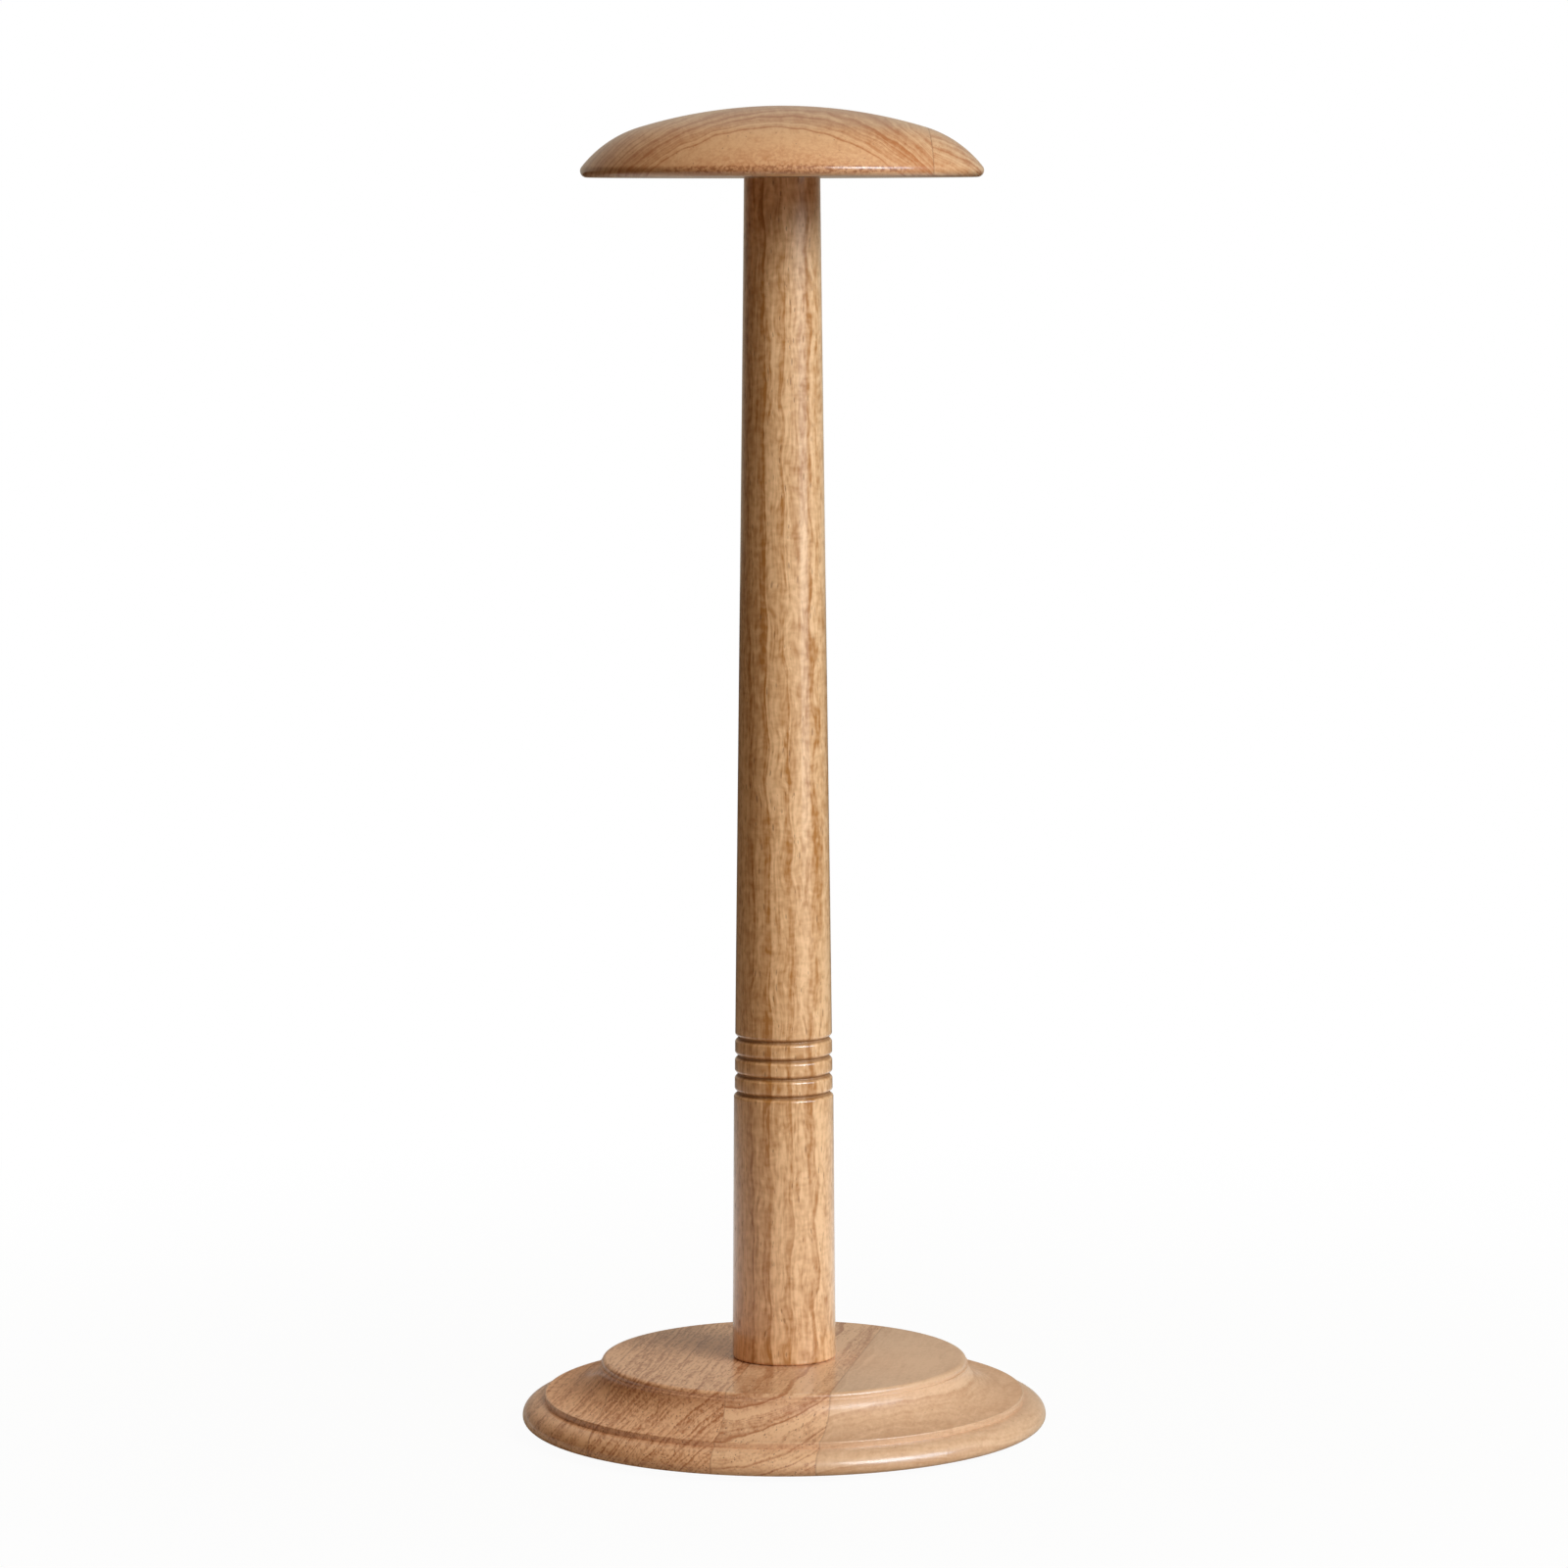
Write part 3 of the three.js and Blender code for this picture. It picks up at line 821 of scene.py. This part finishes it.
# Radius and height above the pole's foot, from the end of the bore there, up the outside, and
# down the bore in the top.
last_cut = FIRST_CUT + (CUT_COUNT - 1) * CUT_PITCH + LIP
heights = np.linspace(last_cut, POLE_LENGTH, TAPER_STEPS + 1)[1:]
taper = np.column_stack((taper_radius(heights), heights, 0 * heights))
foot_edge = arc((15.75, 1.0), 1.0, 1.0, -90, 0, 8)
grooves = [corner for index in range(CUT_COUNT) for corner in cut_corners(index)]
pole_profile = eased([
    (0, FOOT_BORE_END, 0), (BOLT_HOLE, FOOT_BORE_END, 0), (BOLT_HOLE, NUT_BORE_END, 0),
    (NUT_BORE, NUT_BORE_END, 0), (NUT_BORE, 0, 0), *foot_edge, *grooves, *taper,
    (STUD_BORE, POLE_LENGTH, 0), (STUD_BORE, STUD_BORE_END, 0), (0, STUD_BORE_END, 0),
]) + (0, POLE_FOOT)
pole_mesh = mesh_of("turned_pole", *turned(pole_profile, POLE_SIDES))
print("pole outline points:", len(pole_profile), "faces:", len(pole_mesh.polygons))

# %% [markdown]
# The rings run almost along the pole, so they show as long wavy streaks. The four cuts are too
# narrow to rub down, so their coat is duller, and their bottoms are darkened with painted shade
# and some dust.

# %% The pole
POLE_GRAIN = (math.radians(-90), 0.0, 0.0)
# How far the cuts' bottoms reach, where they get painted shade, some dust and a duller coat.
CUT_SHADE_AND_DUST = (0.3, 1.0)


def cuts(bench, place):
    """1 at the bottom of the four cuts. The height is folded at every half pitch, which gives the
    distance to the nearest cut."""
    height = bench.math("SUBTRACT", bench.part(place, "Z"), POLE_FOOT + FIRST_CUT)
    from_cut = bench.math("PINGPONG", height, CUT_PITCH / 2)
    middle = (CUT_COUNT - 1) / 2 * CUT_PITCH
    from_middle = bench.math("ABSOLUTE", bench.math("SUBTRACT", height, middle))
    near = bench.math("LESS_THAN", from_middle, CUT_COUNT / 2 * CUT_PITCH)
    return bench.product(bench.ramp(from_cut, *CUT_SHADE_AND_DUST, 1.0, 0.0), near)


# The cuts are darkened with painted shade and some dust.
pole_finish = lacquered_wood(
    "lacquered pole", POLE_GRAIN, pith=(-38, 0, -6), lean=(-0.008, 0, -0.01), ring=6.0, phase=0.1,
    dense=0.7, wander=4.5, seed=6.2, pale=(0.87, 0.485, 0.245), brown=(0.43, 0.155, 0.03),
    ground=0.27, bands=0.5, curl=0.35, coarse=1.4, waver=0.65, pores=0.28, pore_dark=0.55,
    dash=(1.4, 6.0), end_dark=0.5, coat=0.95, hollow=cuts, hollow_dark=0.75,
)
piece(pole_mesh, "pole", pole_finish)

# %% [markdown]
# ## The cap
# The cap's dome is three arcs that run into each other without a corner: a flat crown, a rounder
# shoulder and a small edge. Where two arcs touch, both centres and the touching point lie in one
# line, and that rule gives the shoulder's radius.

# %% The dome
CAP_RADIUS = 64.2
CAP_HEIGHT = 22.6
CAP_EDGE = 2.1
CAP_FOOT = 403.5
CAP_SIDES = 288
CAP_BORE_TOP = 13.8
CROWN_REACH, CROWN_FOOT, CROWN_DROP = 0.71, 0.7, 0.3


def dome_arcs():
    """The shoulder touches the crown where the crown hands over, and touches the edge round from
    outside. With v from the edge round's centre to the hand-over, n the crown's normal there and
    e the edge's radius, the shoulder's radius is (v.v - e^2) / (2 (v.n - e))."""
    hand_over = np.array((CROWN_REACH * CAP_RADIUS, CROWN_FOOT * CAP_HEIGHT))
    drop = CROWN_DROP * CAP_HEIGHT
    crown = (hand_over[0] ** 2 + drop**2) / (2 * drop)
    crown_centre = np.array((0, CAP_HEIGHT - crown))
    normal = (hand_over - crown_centre) / crown
    edge_centre = np.array((CAP_RADIUS - CAP_EDGE, CAP_EDGE))
    v = hand_over - edge_centre
    shoulder = (v @ v - CAP_EDGE**2) / (2 * (v @ normal - CAP_EDGE))
    shoulder_centre = hand_over - shoulder * normal
    to_edge = edge_centre - shoulder_centre
    edge_angle = math.degrees(math.atan2(to_edge[1], to_edge[0]))
    crown_angle = math.degrees(math.atan2(normal[1], normal[0]))
    print("crown and shoulder radii:", round(crown, 1), round(shoulder, 1))
    return np.vstack((
        arc(edge_centre, CAP_EDGE, CAP_EDGE, -90, edge_angle, 16),
        arc(shoulder_centre, shoulder, shoulder, edge_angle, crown_angle, 32)[1:],
        arc(crown_centre, crown, crown, crown_angle, 90, 40)[1:],
    ))


cap_bore = [(0, CAP_BORE_TOP, 0), (NUT_BORE, CAP_BORE_TOP, 0), (NUT_BORE, 0, 0)]
cap_profile = eased([*cap_bore, *dome_arcs()]) + (0, CAP_FOOT)
cap_profile[-1, 0] = 0
cap_blank = mesh_of("cap_blank", *turned(cap_profile, CAP_SIDES))

# %% [markdown]
# ## The cap's two boards
# The cap was turned from two boards, and the joint shows as a fine upright line near the right
# end. The blank is parted as the base was. The wide board's front cuts into the fast-grown core,
# a plain pale patch, and the outer rings sweep past it on both sides.

# %% The cap's boards
CAP_TURN = math.radians(2)
CAP_GRAIN = (0.0, 0.0, -CAP_TURN)
JOINT = 0.71 * CAP_RADIUS
CAP_WOOD = dict(
    pale=(0.79, 0.425, 0.21), brown=(0.48, 0.155, 0.045), ground=0.42, late=0.3, bands=1.15,
    mottle=0.3, curl=0.1, end_dark=1.75, end_sharp=3.5, coat=0.75,
)
WIDE_BOARD = CAP_WOOD | dict(
    pith=(7.1, 0, 358.5), lean=(0.22, 0, 0.01), core=60.7, phase=0.93, dense=0.8, wander=1.0,
    seed=7.4,
)
NARROW_BOARD = CAP_WOOD | dict(pith=(20, 0, 340), seed=8.8)

for name, node, board, low, high, look in (
    ("cap_wide_board", "cap_board_main", "cap board", -FAR, JOINT, WIDE_BOARD),
    ("cap_narrow_board", "cap_board_side", "cap side board", JOINT, FAR, NARROW_BOARD),
):
    finish = lacquered_wood(f"lacquered {board}", CAP_GRAIN, joints=(low, high), **look)
    piece(parted(cap_blank, name, low, high, CAP_TURN), node, finish)

# %% [markdown]
# ## Zinc plate
# The fixings are steel with a bright zinc plate: a bluish metal with faint warm clouds, a little
# rough from the tumbler it was plated in. One grey would be quicker, but plate is never so even.

# %% Zinc plate
CLOUD_SIZE, CLOUD_EDGE = 4, (0.4, 0.65)
TUMBLE_SIZE, TUMBLE_EDGE = 0.9, (0.3, 0.7)
ZINC_BLUE, ZINC_WARM = (0.60, 0.62, 0.66, 1), (0.66, 0.62, 0.53, 1)
ZINC_ROUGHNESS = (0.29, 0.35)
ZINC_RELIEF = 0.000002


def zinc_plate(name):
    material, bench, shader = new_material(name)
    place = bench.scaled(bench.node("ShaderNodeTexCoord").outputs["Object"], TO_MM)
    clouds = bench.noise(bench.scaled(place, 1 / CLOUD_SIZE))["Fac"]
    tumbled = bench.noise(bench.scaled(place, 1 / TUMBLE_SIZE), 1.0)["Fac"]
    bench.feed(
        shader,
        Base_Color=bench.mix(bench.ramp(clouds, *CLOUD_EDGE), ZINC_BLUE, ZINC_WARM),
        Metallic=1.0,
        Roughness=bench.ramp(tumbled, *TUMBLE_EDGE, *ZINC_ROUGHNESS),
        Normal=bench.raised(tumbled, ZINC_RELIEF),
    )
    return material


def zinc_piece(mesh, node):
    piece(mesh, node, zinc)


zinc = zinc_plate("bright zinc plate")

# %% [markdown]
# ## Threads and flats
# A bolt from below draws the pole down on the base, and the cap sits on a stud, out of sight
# until the stand is taken apart. A screw thread is a groove that climbs one pitch in each turn,
# and a bolt's head is what a hexagon and a chamfer cone have in common. Both only change how far
# the surface is from the axis. So each row of a fixing's outline also says how deep a thread cuts
# there, its pitch, and how far off the flats are.

# %% Threads and flats
ROWS_IN_PITCH = 8
FIXING_SIDES = 96


def rows(*points, flats=np.inf):
    """Rows (radius, height, depth, pitch, flats) through points (radius, height)."""
    return [(radius, height, 0, 1, flats) for radius, height in points]


def thread(radius, start, end, pitch, depth):
    """Rows from one height to another. The depth fades over a pitch at each end, and below zero
    it cuts outwards, in a bore."""
    count = math.ceil(abs(end - start) / pitch * ROWS_IN_PITCH) + 1
    height = np.linspace(start, end, count)
    fade = np.clip(np.minimum(abs(height - start), abs(end - height)) / pitch, 0, 1)
    return [(radius, level, depth * share, pitch, np.inf) for level, share in zip(height, fade)]


def fixing(name, outline, lift, closed=False):
    """A mesh from rows, raised by lift. At the angle a the radius is min(radius, flats / cos b)
    - depth |2 frac(height / pitch - a / full turn) - 1|, where b is the angle from the middle of
    the nearest of six flats."""
    radius, height, depth, pitch, flats = np.array(outline, float).T[:, :, None]
    turn = np.arange(FIXING_SIDES)[None] / FIXING_SIDES
    off_flat = ((6 * turn + 0.5) % 1 - 0.5) * math.pi / 3
    groove = np.abs(2 * ((height / pitch - turn) % 1) - 1)
    radius = np.minimum(radius, flats / np.cos(off_flat)) - depth * groove
    return mesh_of(name, *round_surface(radius, height[:, 0] + lift, closed))


print("rows in a thread 10 millimetres long:", len(thread(4.0, 0, 10, 1.25, 0.7)))

# %% [markdown]
# ## Bolt and washer
# The bolt's head and its washer lie in the counterbore under the base. Heights are counted from
# the face where the two meet.

# %% Bolt and washer
FINE = (1.25, 0.7)
ROD_RADIUS = 4.0
BOLT_SEAT = 9.3
HEAD_BOTTOM, HEAD_TOP, HEAD_FLATS = -5.3, -0.4, 6.5
FACE_RADIUS, CORNER_RADIUS, CHAMFER = 6.1, 7.51, 0.8

chamfer = np.linspace((FACE_RADIUS, HEAD_BOTTOM), (CORNER_RADIUS, HEAD_BOTTOM + CHAMFER), 9)
head = rows((0, HEAD_BOTTOM), *chamfer, (CORNER_RADIUS, HEAD_TOP), flats=HEAD_FLATS)
collar = rows((6.3, HEAD_TOP), (6.3, 0), (4.3, 0), (ROD_RADIUS, 0.3))
shank = thread(ROD_RADIUS, 22.0, 45.0, *FINE) + rows((3.0, 46.0), (0, 46.0))
zinc_piece(fixing("hex_bolt", head + collar + shank, BOLT_SEAT), "foot_bolt")

washer = eased([(4.3, 0, 0.15), (11, 0, 0.2), (11, 1.6, 0.5), (4.3, 1.6, 0.4)]) + (0, BOLT_SEAT)
zinc_piece(mesh_of("flat_washer", *turned(washer, FIXING_SIDES, closed=True)), "foot_washer")

# %% [markdown]
# ## Insert nuts and stud
# The insert nuts have a coarse thread outside, which bites the wood, and a fine one in the bore.
# The stud has both on one rod: the coarse end goes into the pole and the fine end into the cap.

# %% Insert nuts and stud
COARSE = (3.0, 0.9)
BORE_THREAD = (1.25, -0.45)
INSERT_DEPTH = 0.8
NUT_RADIUS, NUT_BORE_RADIUS, NUT_FACE = 6.25, 4.3, 4.9
POLE_NUT, CAP_NUT = 18, 12


def insert_nut(length):
    """The rows of an insert nut from its open end up: outside, over the top and down the bore."""
    mouth = rows((NUT_FACE, 0), (6.0, 0), (NUT_RADIUS, 0.25))
    outside = thread(NUT_RADIUS, 0.8, length - 0.8, *COARSE)
    top = rows((5.4, length), (NUT_FACE, length))
    return mouth + outside + top + thread(NUT_BORE_RADIUS, length - 0.6, 0.6, *BORE_THREAD)


for name, node, length, foot in (
    ("pole_insert_nut", "foot_insert", POLE_NUT, POLE_FOOT),
    ("cap_insert_nut", "cap_insert", CAP_NUT, CAP_FOOT),
):
    zinc_piece(fixing(name, insert_nut(length), foot + INSERT_DEPTH, closed=True), node)

wood_end = rows((0, -29.0)) + thread(3.5, -24.0, -2.0, *COARSE) + rows((3.5, 0), (ROD_RADIUS, 0))
cap_end = thread(ROD_RADIUS, 0.1, 10.5, *FINE) + rows((3.0, 11.5), (0, 11.5))
zinc_piece(fixing("hanger_stud", wood_end + cap_end, CAP_FOOT), "cap_stud")

# %% [markdown]
# ## Felt
# The pads are pressed felt, short fibres tangled every way, so their noise has no direction. Its
# clumps are lighter where the fibres stand up. Single hairs would cost thousands of strands on
# faces that nobody sees, so a bump and a little sheen stand for them.

# %% Felt
FIBRE_SIZE, CLUMP_SIZE = 0.3, 1.8
CLUMP_SHARE = 0.6
FELT_EDGE = (0.38, 0.62)
FELT_DARK, FELT_LIGHT = (0.05, 0.026, 0.014, 1), (0.14, 0.08, 0.045, 1)
FELT_RELIEF = 0.0002


def pressed_felt(name):
    material, bench, shader = new_material(name)
    place = bench.scaled(bench.node("ShaderNodeTexCoord").outputs["Object"], TO_MM)
    fibres = bench.noise(bench.scaled(place, 1 / FIBRE_SIZE), 4.0, 0.7)["Fac"]
    clumps = bench.noise(bench.scaled(place, 1 / CLUMP_SIZE))["Fac"]
    height = bench.math("MULTIPLY_ADD", clumps, CLUMP_SHARE, bench.product(fibres, 0.4))
    bench.feed(
        shader,
        Base_Color=bench.mix(bench.ramp(height, *FELT_EDGE), FELT_DARK, FELT_LIGHT),
        Roughness=bench.ramp(fibres, 0.3, 0.7, 0.85, 1.0),
        Specular_IOR_Level=0.1,
        Normal=bench.raised(height, FELT_RELIEF),
        Sheen_Weight=0.15, Sheen_Roughness=0.6, Sheen_Tint=(0.6, 0.42, 0.3, 1),
    )
    return material


felt = pressed_felt("brown pressed felt")

# %% [markdown]
# ## The pads
# Four felt discs keep the base off the table. A disc punched from felt has a soft edge that is
# never quite round, so two slow waves run round its radius: at the angle a it is the punched
# radius times 1 - w (2 + sin 3a + sin 7a). They only take away, and so the disc stays inside its
# punched size.

# %% The pads
PAD_RADIUS = 9.0
PAD_CIRCLE = 62.0
PAD_SIDES = 96
PAD_COUNT = 4
WAVE = 0.006

pad_corners = [
    (0, 0, 0), (PAD_RADIUS, 0, 0.45), (PAD_RADIUS, PAD_THICKNESS, 0.7), (0, PAD_THICKNESS, 0)
]
pad_outline = supported(eased(pad_corners), closed=False)
for index in range(PAD_COUNT):
    around = np.arange(PAD_SIDES) * 2 * math.pi / PAD_SIDES + index
    wave = 1 - WAVE * (2 + np.sin(3 * around) + np.sin(7 * around))
    vertices, faces = round_surface(pad_outline[:, :1] * wave, pad_outline[:, 1])
    place = math.radians(45 + 90 * index)
    vertices += np.array((math.cos(place), math.sin(place), 0)) * PAD_CIRCLE * MM
    mesh = mesh_of(f"felt_disc_{index + 1}", vertices, faces)
    piece(mesh, f"felt_pad_{index + 1}", felt)

# %% [markdown]
# ## Stage and light
# The photograph is a cut-out on plain white. A broad gleam down the right of the pole, short
# gleams on every round and a soft shade at the left tell of a window at the right and in front.
# It takes two sashes, the farther one bluer, and a low pane that puts the gleam on the base's
# lowest round. A wall behind throws some warm light on the back. It is hidden from gloss, because
# the lacquer would mirror the lamp as a bright square.

# %% The lamps
LAMP_DISTANCE = 1.9
LAMP_TARGET = (0, 0, 0.22)


def lamp(name, azimuth, elevation, width, height, power, colour):
    """A flat lamp at an azimuth (0 in front, 90 at the right) and an elevation in degrees."""
    data = bpy.data.lights.new(name, "AREA")
    data.shape = "RECTANGLE"
    data.size, data.size_y, data.energy, data.color = width, height, power, colour
    made = added(name, data)
    a, e = math.radians(azimuth), math.radians(elevation)
    away = Vector((math.sin(a) * math.cos(e), -math.cos(a) * math.cos(e), math.sin(e)))
    made.location = Vector(LAMP_TARGET) + away * LAMP_DISTANCE
    made.rotation_euler = away.to_track_quat("Z", "Y").to_euler()
    print(name, "shines with", power, "W")
    return made


lamp("window, left sash", 45, 30.5, 1.0, 0.8, 26.5, (0.88, 0.97, 1.0))
lamp("window, right sash", 60, 24.5, 1.3, 0.8, 24.5, (0.48, 0.75, 1.0))
lamp("window, low pane", 60, -1.2, 0.8, 0.32, 1.6, (0.9, 0.96, 1.0))
lamp("lit wall behind", 195, 30, 1.2, 1.2, 8, (1.0, 0.9, 0.78)).visible_glossy = False

# %% [markdown]
# ## White that lights little
# A room that is white all round would wash the shade out. So the surroundings are white to the
# camera alone. What falls on the stand from them is a faint warm glow from behind and from the
# room above the camera, and the lacquer mirrors only a share of the white behind it.

# %% The world
BLACK, WHITE = (0, 0, 0, 1), (1, 1, 1, 1)
BEHIND, ABOVE_CAMERA = (0, 1, 0), (0, -0.6, 0.8)
BACKDROP_GLOW = (0.27, 0.21, 0.11, 1)
ROOM_GLOW = (0.50, 0.40, 0.26, 1)
BACKDROP_GLOSS = 0.24


def seen(bench, in_gloss):
    """How white a ray finds the surroundings: 1 from the camera or through glass, in_gloss off a
    gloss, and 0 for the light that falls on surfaces."""
    path = bench.node("ShaderNodeLightPath").outputs
    gloss = bench.product(path["Is Glossy Ray"], in_gloss)
    return bench.highest(path["Is Camera Ray"], path["Is Transmission Ray"], gloss)


def lobe(bench, direction, toward):
    """Bright in one direction and dark a quarter turn away: max(0, direction . toward)^2."""
    agreement = bench.highest(bench.vector("DOT_PRODUCT", direction, toward), 0.0)
    return bench.math("POWER", agreement, 2.0)


world = bpy.data.worlds.new("studio")
bpy.context.scene.world = world
world.use_nodes = True
bench = Bench(world.node_tree)
direction = bench.vector("NORMALIZE", bench.node("ShaderNodeTexCoord").outputs["Generated"])
backdrop = lobe(bench, direction, BEHIND)
glow = bench.mix(backdrop, BLACK, BACKDROP_GLOW)
glow = bench.mix(lobe(bench, direction, ABOVE_CAMERA), glow, ROOM_GLOW)
whiteness = seen(bench, bench.product(backdrop, BACKDROP_GLOSS))
background = world.node_tree.nodes["Background"].inputs["Color"]
bench.join(background, bench.mix(whiteness, glow, WHITE))
print("world:", len(world.node_tree.nodes), "nodes")

# %% [markdown]
# ## The floor
# The floor keeps a small share of its own shading near the stand, and with it the stand's soft
# shadow. Its paint darkens farther out, so that it throws only a little light up. The lacquer
# finds it white in a ring, close enough to brighten the mouldings and far enough not to wash out
# the foot.

# %% The floor
FLOOR_HALF = 4.0
PAINT_NEAR, PAINT_FAR = (0.55, 0.48, 0.38, 1), (0.08, 0.07, 0.06, 1)
PAINT_FADE = (0.2, 0.9)
RING_START, RING_END, RING_WHITE = (0.1, 0.25), (0.3, 0.9), 0.7
SHADOW_REACH, WHITE_NEAR = (0.1, 0.6), 0.96

floor_corners = np.array([(-1, -1, 0), (1, -1, 0), (1, 1, 0), (-1, 1, 0)]) * FLOOR_HALF
floor = added("floor", mesh_of("floor", floor_corners, [(0, 1, 2, 3)]))
floor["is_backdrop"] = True

floor_paint = bpy.data.materials.new("white floor")
floor_paint.use_nodes = True
nodes = floor_paint.node_tree.nodes
nodes.remove(nodes["Principled BSDF"])
bench = Bench(floor_paint.node_tree)
away = bench.vector("LENGTH", bench.node("ShaderNodeTexCoord").outputs["Object"])
paint = bench.mix(bench.ramp(away, *PAINT_FADE), PAINT_NEAR, PAINT_FAR)
matt = bench.node("ShaderNodeBsdfDiffuse", Color=paint).outputs[0]
white = bench.node("ShaderNodeEmission", Color=WHITE, Strength=1.0).outputs[0]
ring_start = bench.ramp(away, *RING_START, 0.0, RING_WHITE)
in_gloss = bench.product(ring_start, bench.ramp(away, *RING_END, 1.0, 0.0))
share = bench.product(seen(bench, in_gloss), bench.ramp(away, *SHADOW_REACH, WHITE_NEAR, 1.0))
blend = bench.node("ShaderNodeMixShader", Fac=share)
bench.join(blend.inputs[1], matt)
bench.join(blend.inputs[2], white)
bench.join(nodes["Material Output"].inputs["Surface"], blend.outputs[0])
floor.data.materials.append(floor_paint)
print("floor:", 2 * FLOOR_HALF, "metres wide")

# %% [markdown]
# ## Finish
# The finished stand has to fill the frame's box and no more, so the box round the stand is worked
# out.

# %% Finish
bpy.context.scene.view_settings.view_transform = "Standard"
low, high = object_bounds()
